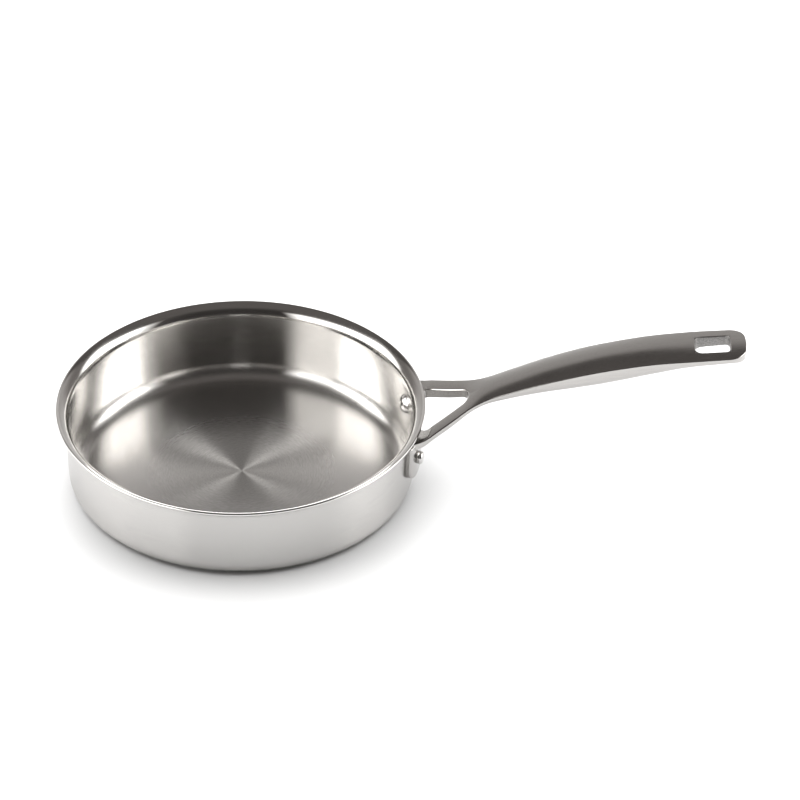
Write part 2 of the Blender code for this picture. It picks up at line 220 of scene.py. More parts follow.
def distanceTo(path, points):
    # Shortest distance of each point to a path: to the nearest place on each of
    # its straight pieces, taken in blocks to save memory.
    start, step = path[:-1], np.diff(path, axis=0)
    size = np.maximum((step**2).sum(axis=1), 1e-20)
    flat = points.reshape(-1, 2)
    nearest = np.full(len(flat), 1e9)
    for block in range(0, len(start), 64):
        a, s, q = start[block:block + 64], step[block:block + 64], size[block:block + 64]
        away = flat[:, None, :] - a[None]
        share = np.clip((away * s).sum(axis=2) / q, 0, 1)
        gap = np.hypot(*(away - share[..., None] * s).transpose(2, 0, 1))
        nearest = np.minimum(nearest, gap.min(axis=1))
    return nearest.reshape(points.shape[:-1])


def roundDrop(distance, radius):
    # How far a quarter round lies below the sharp edge that it replaces, at a
    # distance from that edge.
    inside = np.clip(radius - distance, 0, radius)
    return radius - np.sqrt(np.maximum(radius**2 - inside**2, 0))


def eased(share):
    # Clipped to 0..1, then the cubic that starts and ends level.
    share = np.clip(share, 0, 1)
    return share * share * (3 - 2 * share)


def smoothValue(pairs, x):
    # Cubic (Catmull-Rom) value at each x of a list of (x, value) pairs.
    table = np.array(pairs)
    slopes = np.empty(len(table))
    slopes[1:-1] = (table[2:, 1] - table[:-2, 1]) / (table[2:, 0] - table[:-2, 0])
    slopes[0] = (table[1, 1] - table[0, 1]) / (table[1, 0] - table[0, 0])
    slopes[-1] = (table[-1, 1] - table[-2, 1]) / (table[-1, 0] - table[-2, 0])
    x = np.clip(x, table[0, 0], table[-1, 0])
    i = np.clip(np.searchsorted(table[:, 0], x, side="right") - 1, 0, len(table) - 2)
    span = table[i + 1, 0] - table[i, 0]
    t = (x - table[i, 0]) / span
    return ((2 * t**3 - 3 * t**2 + 1) * table[i, 1] + (t**3 - 2 * t**2 + t) * span * slopes[i]
            + (3 * t**2 - 2 * t**3) * table[i + 1, 1] + (t**3 - t**2) * span * slopes[i + 1])


pan = {
    "rimRadius": 0.10699, "height": 0.0497, "sheet": 0.0024, "lipReach": 0.00497,
    "lipAngle": math.radians(35), "draft": math.radians(2.5), "floorBend": 0.0096,
    "baseBend": 0.0089, "lipCrest": 0.0075, "lipBend": 0.0022, "lipEase": 0.0028,
    "lipSteps": 40, "longest": 0.0035, "steps": 480,
}


def wallCorner():
    # Where the wall's outer face would meet the underside of the lip: back along
    # the lip's slant from its lower edge.
    half = pan["sheet"] / 2
    edgeX = pan["rimRadius"] - half + half * math.sin(pan["lipAngle"])
    edgeZ = pan["height"] - half - half * math.cos(pan["lipAngle"])
    radius = pan["rimRadius"] - pan["lipReach"]
    return radius, edgeZ - (edgeX - radius) * math.tan(pan["lipAngle"])


def wallRadius(z):
    # The wall's outer face is a cone that opens upward by the draft.
    radius, cornerZ = wallCorner()
    return radius + (z - cornerZ) * math.tan(pan["draft"])


def panProfile():
    # Half section from the axis: floor, wall and flared lip inside, round the
    # lip's end, and back down the outside to the axis.
    sheet = pan["sheet"]
    slant = np.array([math.cos(pan["lipAngle"]), math.sin(pan["lipAngle"])])
    across = np.array([-slant[1], slant[0]])
    lipCentre = np.array([pan["rimRadius"] - sheet / 2, pan["height"] - sheet / 2])
    innerShift = sheet / math.cos(pan["draft"])
    innerEdge = lipCentre + across * sheet / 2 - slant * pan["lipEase"]
    outerEdge = lipCentre - across * sheet / 2
    cornerX, cornerZ = wallCorner()
    wallSlope, lipSlope = math.tan(pan["draft"]), math.tan(pan["lipAngle"])
    rise = (innerEdge[0] - cornerX + innerShift) * lipSlope + cornerZ - innerEdge[1]
    innerZ = cornerZ - rise / (1 - wallSlope * lipSlope)
    inside = roundedPath([
        (0, sheet, 0),
        (wallRadius(sheet) - innerShift, sheet, pan["floorBend"]),
        (wallRadius(innerZ) - innerShift, innerZ, pan["lipCrest"]),
        (*innerEdge, 0),
    ])
    # The end is a quarter of a long ellipse on top, which turns level early, and a
    # quarter circle below it.
    angle = np.linspace(0, math.pi, pan["lipSteps"] + 1)[1:-1, None]
    back = np.where(angle < math.pi / 2, pan["lipEase"], 0)
    lipEnd = (lipCentre + across * np.cos(angle) * sheet / 2
              + slant * (np.sin(angle) * (sheet / 2 + back) - back))
    outside = roundedPath([
        (*outerEdge, 0),
        (cornerX, cornerZ, pan["lipBend"]),
        (wallRadius(0), 0, pan["baseBend"]),
        (0, 0, 0),
    ])
    return np.concatenate([inside, lipEnd, outside])


def turned(name, profile, steps, material, place=None):
    # A surface of revolution: each profile point (r, z) goes round the Z axis,
    # and the two ends on the axis are single points. The attribute "run" is the
    # distance along the profile, for patterns and finishes that follow it.
    turn = np.arange(steps) * 2 * math.pi / steps
    body = profile[1:-1]
    ring = np.stack([body[:, :1] * np.cos(turn), body[:, :1] * np.sin(turn),
                     np.repeat(body[:, 1:], steps, axis=1)], axis=-1)
    ends = np.array([[0, 0, profile[0, 1]], [0, 0, profile[-1, 1]]])
    points = np.concatenate([ring.reshape(-1, 3), ends])
    index = np.arange(len(body) * steps).reshape(len(body), steps)
    if place is not None:
        points = points @ place[:3, :3].T + place[:3, 3]
    first, last = fanFaces(index[0], len(points) - 2), fanFaces(index[-1], len(points) - 1)
    faces = [gridFaces(index, True), first, last[:, ::-1]]
    piece = makePiece(name, points, faces, material, weld=0)
    run = pathRun(profile)
    values = np.concatenate([np.repeat(run[1:-1], steps), run[[0, -1]]])
    piece.data.attributes.new("run", "FLOAT", "POINT").data.foreach_set("value", values)
    return piece


def denser(profile, longest):
    # The same profile with its long straight stretches divided.
    pieces = []
    for a, b in zip(profile[:-1], profile[1:]):
        count = max(1, math.ceil(np.hypot(*(b - a)) / longest))
        pieces.append(a + (b - a) * (np.arange(count) / count)[:, None])
    return np.concatenate(pieces + [profile[-1:]])


satin = {
    "roughness": {"floor": 0.19, "fillet": 0.20, "wall": 0.15, "lip": 0.10, "lipEnd": 0.08,
                  "outside": 0.24, "base": 0.30},
    "change": {"fillet": 0.004, "wall": 0.0012, "lip": 0.0012, "lipEnd": 0.0004,
               "outside": 0.0006, "base": 0.001},
    "rises": {"wall": 0.0100, "lip": 0.0415, "lipEnd": 0.0484},     # heights inside
    "falls": {"outside": 0.0472, "base": 0.0002},                   # heights outside
    "filletLead": 0.002, "soft": 0.002, "least": 0.0004,
    "dull": (0.585, 0.575, 0.56, 1), "clear": (0.635, 0.625, 0.61, 1), "outsidePaintedShade": 0.15,
    "fineGrooves": 3600, "fineTurns": 12, "broadGrooves": 1300, "broadTurns": 9,
    "relief": 0.25, "reliefDepth": 0.00002, "polishedRelief": 0.25, "cornerCalm": 0.7,
    "uneven": 0.50, "cornerEven": 0.35, "anisotropic": 1.0, "alongTurn": 0.25,
    "scratch": 0.55, "scratchShare": 0.08, "centreShare": 0.45, "centreReach": (0.005, 0.090),
}


def panZones(profile):
    # Distance along the profile at which each zone of the finish begins: where
    # the inside first rises past a height, or the outside first falls past it.
    run = pathRun(profile)
    z = profile[:, 1]
    widest = int(np.argmax(profile[:, 0]))
    bend = run[np.argmax(z[:widest] > pan["sheet"] + 1e-5)]
    zones = {"fillet": float(bend) - satin["filletLead"]}
    for name, height in satin["rises"].items():
        zones[name] = float(run[np.argmax(z[:widest] > height)])
    for name, height in satin["falls"].items():
        zones[name] = float(run[widest + np.argmax(z[widest:] < height)])
    return zones


def satinSteel(zones):
    # Turned stainless steel: fine grooves round the axis, satin on the floor,
    # wall and outside, and polished in the corner and at the lip.
    material, nodes = startMaterial("satinSteel")
    x, y, z = nodes.parts(nodes.objectPlace())
    run = nodes.node("ShaderNodeAttribute", {"attribute_name": "run"})[2]     # its value
    radius = (x * x + y * y)**0.5
    away = radius.maths("MAXIMUM", radius, satin["least"])
    turnX, turnY = x / away, y / away

    def grooves(size, detail):
        turns = satin[size + "Turns"]
        lines = nodes.vector(run * satin[size + "Grooves"], turnX * turns, turnY * turns)
        return nodes.noise(lines, 1.0, detail)

    groove = grooves("fine", 3) * 0.5 + grooves("broad", 2) * 0.5
    level = satin["roughness"]["floor"]
    before = level
    for name, soft in satin["change"].items():
        step = run.rise(zones[name] - soft / 2, zones[name] + soft / 2)
        level = level + step * (satin["roughness"][name] - before)
        before = satin["roughness"][name]
    onFloor = 1 - run.rise(zones["fillet"], zones["fillet"] + satin["change"]["fillet"])
    corner = run.band(zones["fillet"], zones["wall"], satin["soft"])
    outside = run.rise(zones["outside"], zones["outside"] + satin["soft"])
    colour = nodes.blend(groove.rise(0.25, 0.75), satin["dull"], satin["clear"])
    # Painted shade: the outside and the base are blended towards black, to dim the table that they
    # mirror.
    colour = nodes.blend(outside * satin["outsidePaintedShade"], colour, (0, 0, 0, 1))
    polished = satin["polishedRelief"]
    height = groove * (polished + (1 - polished) * (onFloor + outside)) * (
        1 - satin["cornerCalm"] * corner)
    relief = nodes.bump(satin["relief"], satin["reliefDepth"], height)
    uneven = (groove - 0.5) * (satin["uneven"] - satin["cornerEven"] * corner)
    # The deeper scratches of the floor throw light much wider than its ground
    # surface, so the floor is a mix of two steels of different roughness.
    ground, deep = (
        nodes.steel(colour, rough, relief, satin["anisotropic"], satin["alongTurn"])
        for rough in (level * (1 + uneven), satin["scratch"]))
    nearCentre = 1 - run.rise(*satin["centreReach"])
    share = onFloor * (0.5 + groove) * (satin["scratchShare"] + satin["centreShare"] * nearCentre)
    nodes.show(nodes.node("ShaderNodeMixShader", sockets={0: share, 1: ground, 2: deep})[0])
    return material


panShape = denser(panProfile(), pan["longest"])
panBody = turned("panBody", panShape, pan["steps"], satinSteel(panZones(panShape)))
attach(panBody, "root")
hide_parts("pan_body")
print("pan turned")


rivet = {
    "angle": math.radians(14.75), "drop": 0.0191, "shank": 0.0030, "footThickness": 0.0043,
    "outerRadius": 0.0038, "outerHeight": 0.0032, "edge": 0.0012, "innerRadius": 0.0063,
    "innerHeight": 0.0035, "domeSteps": 20, "sink": 0.0001, "steps": 96,
    "dull": (0.58, 0.57, 0.56, 1), "clear": (0.64, 0.63, 0.62, 1), "marks": 900,
    "roughness": 0.13, "markRoughness": 0.08, "relief": 0.1, "reliefDepth": 0.00002,
}


def rivetProfile():
    # Half section along the rivet's axis, z = 0 on the wall's outer face: outer
    # head with a rounded edge, shank, and inside the pan a head that is the cap of
    # a sphere through its edge and its top.
    face = rivet["footThickness"]
    top = face + rivet["outerHeight"]
    innerFace = -pan["sheet"] + rivet["sink"]
    outer = roundedPath([
        (0, top, 0),
        (rivet["outerRadius"], top - rivet["edge"] / 4, rivet["edge"]),
        (rivet["outerRadius"], face, 0),
        (rivet["shank"], face, 0),
        (rivet["shank"], innerFace, 0),
    ])
    depth = rivet["innerHeight"]
    dome = (rivet["innerRadius"]**2 + depth**2) / (2 * depth)
    angle = np.linspace(math.asin(rivet["innerRadius"] / dome), 0, rivet["domeSteps"])
    head = np.stack([dome * np.sin(angle), innerFace - depth + dome * (1 - np.cos(angle))], axis=-1)
    return np.concatenate([outer, head])


def rivetPlace(side):
    # Turns local Z onto the wall's outward normal at a rivet's place.
    z = pan["height"] - rivet["drop"]
    turn = rivet["angle"] * side
    tilt = math.pi / 2 + pan["draft"]
    ct, st, ca, sa = math.cos(tilt), math.sin(tilt), math.cos(turn), math.sin(turn)
    place = np.eye(4)
    place[:3, :3] = np.array([[ca, -sa, 0], [sa, ca, 0], [0, 0, 1]]) @ np.array(
        [[ct, 0, st], [0, 1, 0], [-st, 0, ct]])
    place[:3, 3] = (wallRadius(z) * ca, wallRadius(z) * sa, z)
    return place


def polishedSteel():
    # Polished steel with faint handling marks.
    material, nodes = startMaterial("polishedSteel")
    marks = nodes.noise(nodes.objectPlace(), rivet["marks"], 4, 0.6)
    colour = nodes.blend(marks, rivet["dull"], rivet["clear"])
    roughness = rivet["roughness"] + marks.rise(0.4, 0.8) * rivet["markRoughness"]
    relief = nodes.bump(rivet["relief"], rivet["reliefDepth"], marks)
    nodes.show(nodes.steel(colour, roughness, relief))
    return material


rivetSteel = polishedSteel()
for side, nodeName, name in ((1, "rivet_left", "rivetLeft"), (-1, "rivet_right", "rivetRight")):
    piece = turned(name, rivetProfile(), rivet["steps"], rivetSteel, rivetPlace(side))
    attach(piece, "root")
    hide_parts(nodeName)
print("rivets set")


handle = {
    "length": 0.1849, "tipHalf": 0.01490, "tipBow": 0.0012, "tipBowBend": 0.0500,
    "tipCorner": 0.0098, "gripX": 0.1550, "gripHalf": 0.01540, "middleX": 0.0850,
    "middleHalf": 0.01420, "neckHalf": 0.01125, "neckBend": 0.0300, "sideBend": 0.8000,
    "legAngle": math.radians(31.9), "legWidth": 0.0085, "legLanding": math.radians(15.35),
    "legCrown": 0.0003, "innerFlare": 0.0030, "crotch": 0.0087, "sink": 0.0001,
    "slotStart": 0.1550, "slotLength": 0.0205, "slotWidth": 0.0156,
    "slotNear": 0.0045, "slotFar": 0.0030, "topEdge": 0.0006, "lowEdge": 0.0006,
    "thinnest": 0.0002, "joinEnd": 0.0080, "joinLength": 0.0120,
    "barEnd": 0.0110, "bellyStart": 0.0330, "barPower": 4.5, "bellyPower": 3.0,
}
# Rise of the top's edges over the pan's rim, height of the crown over them, and
# depth of the belly under them, by the distance out from the rim.
edgeRise = [
    (-0.0190, -0.0066), (-0.0023, -0.0060), (0.0040, -0.0034), (0.0156, 0.0013),
    (0.0243, 0.0051), (0.0432, 0.0126), (0.0662, 0.0209), (0.0892, 0.0276),
    (0.1064, 0.0315), (0.1293, 0.0354), (0.1522, 0.0375), (0.1850, 0.0394),
]
crownRise = [
    (-0.0190, 0.0010), (0.0017, 0.0020), (0.0240, 0.0012), (0.0430, 0.0018), (0.0660, 0.0021),
    (0.1060, 0.0020), (0.1450, 0.0013), (0.1610, 0.0010), (0.1850, 0.0009),
]
bellyDepth = [
    (-0.0190, 0.0060), (0.0120, 0.0060), (0.0317, 0.0053), (0.0432, 0.0062),
    (0.0662, 0.0094), (0.0892, 0.0124), (0.1064, 0.0130), (0.1293, 0.0111),
    (0.1522, 0.0074), (0.1750, 0.0061), (0.1850, 0.0052),
]
foot = {
    "thickness": 0.0043, "width": 0.0205, "outerWidth": 0.0110, "outerThickness": 0.0030,
    "topDrop": 0.0073, "height": 0.0240, "outerCorner": 0.0080, "innerCorner": 0.0035,
    "edge": 0.0010, "thinPower": 1.5, "around": 240, "rings": 25, "ringPower": 2.2,
}
# How close the handle's mesh is: rows along it, columns across it, and where its
# rows meet the outer side.
weave = {
    "step": 0.0006, "centreStep": 0.00084, "slotStep": 0.0003, "columns": 30,
    "columnPower": 1.9, "sideRows": 8, "forkDense": 0.0006,
    "centreDense": 0.0012, "slotDense": 0.0004, "endDense": 0.0006, "denseSteps": 9,
    "footReach": 0.0100, "wallFade": 0.0060, "seatSearch": 0.0120, "seatSteps": 240,
    "forkLead": 0.4, "forkBlend": 0.25, "forkReach": 0.02, "slotInset": 0.0002,
    "slotEven": 0.85, "lastInset": 0.0045, "nose": 0.00002, "rim": 0.00005,
}


def wallSeat():
    # Radius of the wall where the handle lands, just inside its outer face.
    return wallRadius(pan["height"] - foot["topDrop"]) - handle["sink"]


def handlePaths():
    # Plan of the half at +Y. The outer path runs from the foot along leg, neck
    # and grip to the end; the inner path from the foot along the leg to the
    # crotch, then on the centre line and round the slot.
    face = wallRadius(pan["height"] - foot["topDrop"]) + foot["thickness"]
    slope = math.tan(handle["legAngle"])
    landing = face * np.array([math.cos(handle["legLanding"]), math.sin(handle["legLanding"])])
    halfLeg = handle["legWidth"] / 2 / math.cos(handle["legAngle"])
    end = pan["rimRadius"] + handle["length"]
    bowX = end - handle["tipBow"]

    def legSide(x, offset):
        return landing[1] + offset - (x - landing[0]) * slope

    neckX = landing[0] + (landing[1] + halfLeg - handle["neckHalf"]) / slope
    crotchX = landing[0] + (landing[1] - halfLeg) / slope
    innerTurn = rivet["angle"] - foot["width"] / 2 / face
    seat = wallSeat()
    search = np.linspace(landing[0] - weave["seatSearch"], landing[0], weave["seatSteps"] + 1)
    beside = np.abs(np.hypot(search, legSide(search, halfLeg)) - seat)
    outerX = float(search[np.argmin(beside)])
    innerY = face * math.sin(innerTurn) + handle["innerFlare"] / 2
    innerFootX = face * math.cos(innerTurn)
    innerBendX = innerFootX + handle["innerFlare"] / 2
    outerPath = roundedPath([
        (outerX, legSide(outerX, halfLeg), 0),
        (neckX, handle["neckHalf"], handle["neckBend"]),
        (pan["rimRadius"] + handle["middleX"], handle["middleHalf"], handle["sideBend"]),
        (pan["rimRadius"] + handle["gripX"], handle["gripHalf"], handle["sideBend"] / 4),
        (bowX, handle["tipHalf"], handle["tipCorner"]),
        (end, 0, handle["tipBowBend"]),
        (bowX, -handle["tipHalf"], 0),
    ], chord=2e-6)
    outerPath = outerPath[outerPath[:, 1] > 0]
    outerPath = np.concatenate([outerPath, [(end - weave["nose"], 0)]])
    fork = roundedPath([
        (math.sqrt(seat**2 - innerY**2), innerY, 0),
        (innerFootX, innerY, 0),
        (innerBendX, legSide(innerBendX, -halfLeg), handle["innerFlare"]),
        (crotchX, 0, handle["crotch"]),
        (innerBendX, -legSide(innerBendX, -halfLeg), 0),
    ], chord=2e-6)
    fork = np.concatenate([fork[fork[:, 1] > 0], [(fork[:, 0].max(), 0)]])
    start = pan["rimRadius"] + handle["slotStart"]
    far = start + handle["slotLength"]
    half = handle["slotWidth"] / 2
    slot = roundedPath([
        (start, 0, 0), (start, half, handle["slotNear"]),
        (far, half, handle["slotFar"]), (far, 0, 0),
    ], chord=2e-6)
    return outerPath, fork, slot


def spaced(length, step, dense, depth):
    # Distances from 0 to length about a step apart, closer at the ends named in
    # dense, where the spacing starts very fine and grows over depth.
    count = max(4, math.ceil(length / step))
    marks = [np.linspace(0, length, count + 1)]
    fine = depth * (np.arange(1, weave["denseSteps"]) / weave["denseSteps"])**2
    if "start" in dense:
        marks.append(fine)
    if "end" in dense:
        marks.append(length - fine)
    together = np.unique(np.clip(np.round(np.concatenate(marks), 7), 0, length))
    together[-1] = length
    return together


def onCentre(x):
    return np.stack([x, np.zeros_like(x)], axis=-1)


def handleRows():
    # Pairs of plan points (inner, outer), one pair for each row of the mesh, in
    # four stretches: along the fork, on the centre line to the slot, round the
    # slot, and on the centre line to the end. The outer points follow as
    # distances on the outer path that never run back.
    outerPath, fork, slot = handlePaths()
    run = pathRun(outerPath)

    def runAt(x):
        return np.interp(x, outerPath[:, 0], run)

    shift = handle["legWidth"] * math.sin(handle["legAngle"])
    apexX, slotX, slotEnd = fork[-1, 0], slot[0, 0], slot[-1, 0]
    lastX = outerPath[-1, 0] - weave["lastInset"]
    legEnd = runAt(apexX + shift * weave["forkLead"])
    slotFrom, slotTo = runAt(slotX + weave["slotInset"]), runAt(slotEnd - weave["slotInset"])
    rows = []

    length = pathLength(fork)
    distance = spaced(length, weave["step"], "end", weave["forkDense"])
    inner = along(fork, distance)
    outerX = inner[:, 0] + shift * np.clip((inner[:, 0] - fork[0, 0]) / weave["footReach"], 0, 1)
    toEnd = 1 - distance / length
    blend = np.clip(1 - toEnd / weave["forkBlend"], 0, 1)
    outerRun = runAt(outerX)
    ahead = np.maximum(outerRun, legEnd - toEnd * weave["forkReach"])
    outerRun = outerRun * (1 - blend) + ahead * blend
    outerRun = np.minimum(np.maximum.accumulate(outerRun), legEnd)
    outerRun[-1] = legEnd
    rows.append((inner, along(outerPath, outerRun)))

    length = slotX - apexX
    distance = spaced(length, weave["centreStep"], "start end", weave["centreDense"])
    outerRun = legEnd + (slotFrom - legEnd) * distance / length
    rows.append((onCentre(apexX + distance), along(outerPath, outerRun)))

    length = pathLength(slot)
    distance = spaced(length, weave["slotStep"], "start end", weave["slotDense"])
    inner = along(slot, distance)
    even = weave["slotEven"]
    share = even * (inner[:, 0] - slotX) / (slotEnd - slotX) + (1 - even) * distance / length
    rows.append((inner, along(outerPath, slotFrom + (slotTo - slotFrom) * share)))

    length = run[-1] - slotTo
    distance = spaced(length, weave["slotStep"], "start", weave["endDense"])
    inner = onCentre(slotEnd + (lastX - slotEnd) * distance / length)
    rows.append((inner, along(outerPath, slotTo + distance)))
    return rows, outerPath, fork, slot


def handleHeights(points, outerPath, fork):
    # Top and underside of the handle over plan points (x, y): a crowned top over
    # a superellipse that turns from a flat bar at the legs to a deep belly.
    x, y = points[..., 0], points[..., 1]
    clear = outerPath[-1, 0] - handle["tipBow"] - handle["tipCorner"]
    half = np.interp(np.clip(x, outerPath[0, 0], clear), outerPath[:, 0], outerPath[:, 1])
    out = x - pan["rimRadius"]
    edge = pan["height"] + smoothValue(edgeRise, out)
    # Each leg has its own low crown, which joins that of the grip past the fork.
    join = eased((fork[-1, 0] + handle["joinEnd"] - x) / handle["joinLength"])
    inside = np.interp(x, fork[:, 0], fork[:, 1]) * (x < fork[-1, 0])
    centre = join * (inside + half) / 2
    crown = smoothValue(crownRise, out) * (1 - join) + handle["legCrown"] * join
    arch = crown * (1 - np.clip(np.abs(y - centre) / (half - centre), 0, 1)**2)
    deep = eased((out - handle["barEnd"]) / (handle["bellyStart"] - handle["barEnd"]))
    power = handle["barPower"] + (handle["bellyPower"] - handle["barPower"]) * deep
    side = np.clip(y / (half + weave["rim"]), 0, 1)
    fall = smoothValue(bellyDepth, out) * np.maximum(1 - side**power, 0)**(1 / power)
    return edge + arch, edge + (1 - deep) * arch - fall


def castHalf():
    # The half at +Y as grids: each row runs from the inner path over the top to
    # the outer side and back underneath. Edges are rounded by each point's
    # distance to them. More grids close the fork's and the slot's inner wall and
    # the end that lies on the pan.
    rows, outerPath, fork, slot = handleRows()
    t = np.linspace(0, 1, weave["columns"] + 1)
    power = weave["columnPower"]
    spread = (t**power / (t**power + (1 - t)**power))[None, :, None]
    down = np.linspace(0, 1, weave["sideRows"] + 1)
    grids = []
    for number, (inner, outer) in enumerate(rows):
        plan = inner[:, None, :] + (outer - inner)[:, None, :] * spread
        if number == 0:
            # The first rows follow the round wall, not the chord across it.
            bulge = wallSeat() - np.hypot(plan[0, :, 0], plan[0, :, 1])
            fade = np.clip(1 - (inner[:, 0] - inner[0, 0]) / weave["wallFade"], 0, 1)
            plan[..., 0] += bulge[None, :] * fade[:, None]
        away = np.minimum(distanceTo(fork, plan), distanceTo(slot, plan))
        away = np.minimum(distanceTo(outerPath, plan), away)
        top, low = handleHeights(plan, outerPath, fork)
        top = top - roundDrop(away, handle["topEdge"])
        low = np.minimum(low + roundDrop(away, handle["lowEdge"]), top - handle["thinnest"])
        side = top[:, -1:] + (low[:, -1:] - top[:, -1:]) * down[1:-1]
        height = np.concatenate([top, side, low[:, ::-1]], axis=1)
        edge = np.repeat(plan[:, -1:], len(down) - 2, axis=1)
        spot = np.concatenate([plan, edge, plan[:, ::-1]], axis=1)
        ring = np.concatenate([spot, height[..., None]], axis=-1)
        grids.append(ring)
        if number in (0, 2):
            grids.append(ring[:, -1:] + (ring[:, :1] - ring[:, -1:]) * down[None, :, None])
        if number == 0:
            over, under = ring[0, :len(t)], ring[0, -len(t):][::-1]
            grids.append(over + (under - over) * down[:, None, None])
    return grids


def castHandle(material):
    # Both halves and both feet as one piece: the grids, then their mirror image.
    points, faces, offset = [], [], 0
    for grid in castHalf():
        index = offset + np.arange(grid.shape[0] * grid.shape[1]).reshape(grid.shape[:2])
        points.append(grid.reshape(-1, 3))
        faces.append(gridFaces(index))
        offset += index.size
    half, quads = np.concatenate(points), np.concatenate(faces)
    plate, plateFaces = footPlate()
    flip = np.array([1, -1, 1])
    groups = [quads, quads[:, ::-1] + len(half)]
    for group in plateFaces:
        groups += [group + 2 * len(half), group[:, ::-1] + 2 * len(half) + len(plate)]
    together = np.concatenate([half, half * flip, plate, plate * flip])
    return makePiece("castHandle", together, groups, material)


def footPlate():
    # The foot at +Y: a tongue with rounded lower corners that lies on the wall.
    # Its plan (across, height) is the outline shrunk in rings towards the middle,
    # wrapped round the wall. It thins out to its outer side, with a round edge.
    top = pan["height"] - foot["topDrop"]
    inner, outer = -foot["width"] / 2, foot["outerWidth"]
    outline = roundedPath([
        (outer, top, foot["edge"]), (inner, top, foot["edge"]),
        (inner, top - foot["height"], foot["innerCorner"]),
        (outer, top - foot["height"], foot["outerCorner"]),
    ], closed=True, chord=4e-6)
    outline = np.concatenate([outline, outline[:1]])
    loop = along(outline, np.linspace(0, pathLength(outline), foot["around"] + 1)[:-1])
    middle = np.array([0, top - foot["height"] * 0.5])
    t = np.linspace(0, 1, foot["rings"] + 1)[1:]
    spread = 1 - (1 - t)**foot["ringPower"]
    plan = middle + (loop - middle)[None] * spread[:, None, None]
    away = distanceTo(outline, plan)
    thinner = np.clip(plan[..., 0] / outer, 0, 1)**foot["thinPower"] * (
        foot["thickness"] - foot["outerThickness"])
    rise = foot["thickness"] - thinner - roundDrop(away, foot["edge"])
    plan = np.concatenate([plan, plan[-1:]])
    rise = np.concatenate([rise, 0 * away[-1:] - handle["sink"]])
    turn = rivet["angle"] + plan[..., 0] / (wallRadius(top) + foot["thickness"])
    radius = wallRadius(plan[..., 1]) + rise
    ring = np.stack([radius * np.cos(turn), radius * np.sin(turn), plan[..., 1]], axis=-1)
    centres = []
    for height in (foot["thickness"], -handle["sink"]):
        r = wallRadius(middle[1]) + height
        centres.append([r * math.cos(rivet["angle"]), r * math.sin(rivet["angle"]), middle[1]])
    points = np.concatenate([ring.reshape(-1, 3), centres])
    index = np.arange(ring.shape[0] * ring.shape[1]).reshape(ring.shape[:2])
    front, back = fanFaces(index[0], len(points) - 2), fanFaces(index[-1], len(points) - 1)
    return points, [gridFaces(index, True), front, back[:, ::-1]]


cast = {
    "dull": (0.435, 0.423, 0.411, 1), "clear": (0.48, 0.468, 0.456, 1),
    "roughness": 0.19, "lineRoughness": 0.10, "cloudRoughness": 0.06, "relief": 0.12,
    "reliefDepth": 0.00002, "alongLines": 110, "acrossLines": 3000, "clouds": 90,
    "slotGrainAndShadeTone": (0.10, 0.10, 0.10, 1), "slotPaintedShade": 0.30, "slotGrain": 0.6,
    "slotRoughness": 0.35, "slotDepth": 0.0002, "grains": 1400, "slotEdge": 0.0001,
}


def castSteel():
    # Satin cast steel, brushed along the grip.
    material, nodes = startMaterial("castSteel")
    place = nodes.objectPlace()
    x, y, z = nodes.parts(place)
    acrossLines = cast["acrossLines"]
    lines = nodes.vector(x * cast["alongLines"], y * acrossLines, z * acrossLines)
    fine = nodes.noise(lines, 1.0, 3)
    cloud = nodes.noise(place, cast["clouds"], 3)
    # The wall of the slot is left as cast: grainy and dull. Its colour is darker too, partly by its
    # cast grain and partly by a painted shade over the whole recess.
    first = pan["rimRadius"] + handle["slotStart"]
    last, half = first + handle["slotLength"], handle["slotWidth"] / 2
    edge = cast["slotEdge"]
    slot = x.band(first - edge, last + edge, edge) * (
        1 - y.maths("ABSOLUTE", y).rise(half, half + 2 * edge))
    grain = nodes.noise(place, cast["grains"], 4, 0.7)
    colour = nodes.blend(fine.rise(0.3, 0.7), cast["dull"], cast["clear"])
    # Painted shade: the slot's wall is blended a fixed share towards the dark tone everywhere, and
    # its cast grain darkens it further in places.
    grainAndShade = cast["slotPaintedShade"] + cast["slotGrain"] * grain.rise(0.35, 0.75)
    colour = nodes.blend(slot * grainAndShade, colour, cast["slotGrainAndShadeTone"])
    roughness = (cast["roughness"] + (fine - 0.5) * cast["lineRoughness"]
                 + (cloud - 0.5) * cast["cloudRoughness"] + slot * cast["slotRoughness"])
    depth = cast["reliefDepth"] + slot * cast["slotDepth"]
    relief = nodes.bump(cast["relief"], depth, fine * (1 - slot) + grain * slot)
    nodes.show(nodes.steel(colour, roughness, relief))
    return material


castPiece = castHandle(castSteel())
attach(castPiece, "root")
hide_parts("handle")
print("handle cast")


table = {"half": 40.0, "tone": (0.25, 0.25, 0.25, 1), "roughness": 0.6, "shine": 0.2}


def paleFloor():
    # A wide pale table top.
    size = table["half"]
    ring = np.array([[-size, -size, 0], [size, -size, 0], [size, size, 0], [-size, size, 0]])
    material, nodes = startMaterial("paleTable")
    shader = nodes.node("ShaderNodeBsdfPrincipled", sockets={
        "Base Color": table["tone"], "Roughness": table["roughness"],
        "Specular IOR Level": table["shine"]})[0]
    nodes.show(shader)
    floor = makePiece("floor", ring, [np.array([[0, 1, 2, 3]])], material, weld=0)
    return floor


